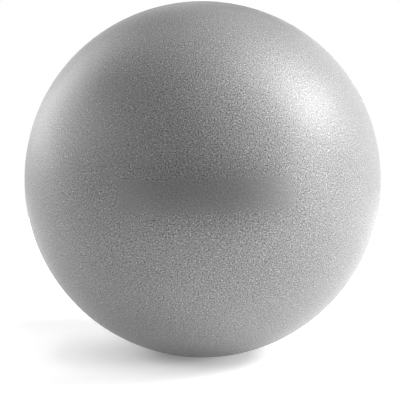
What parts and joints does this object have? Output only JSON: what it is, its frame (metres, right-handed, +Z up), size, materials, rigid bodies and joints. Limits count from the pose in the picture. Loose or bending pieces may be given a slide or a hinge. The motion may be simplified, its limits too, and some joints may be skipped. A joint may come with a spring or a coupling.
{
  "type": "exercise ball",
  "caption": "Small soft inflatable exercise ball with a fine-grained matte grey vinyl skin, a flush rear valve and a pull-out plug, resting on its own contact patch.",
  "frame": {"origin": "centre of the contact patch on which the ball rests, at the bottom of its box", "axes": "+Z up; the valve points along +Y and the side seen in the picture faces -Y"},
  "size_m": [0.23, 0.2298, 0.2286],
  "materials": {
    "grained_vinyl": "matte grey soft vinyl with a fine pebbled grain and a satin sheen",
    "smooth_vinyl": "smooth satin grey soft vinyl",
    "plug_polythene": "pale grey moulded polythene, satin"
  },
  "bodies": {
    "ball": {"ball_skin": "grained_vinyl", "valve_socket": "smooth_vinyl"},
    "plug": {"valve_plug": "plug_polythene"}
  },
  "joints": [
    {"name": "plug_pull", "type": "slide", "parent": "ball", "child": "plug", "axis": [0, 1, 0], "range_m": [0, 0.025]}
  ]
}
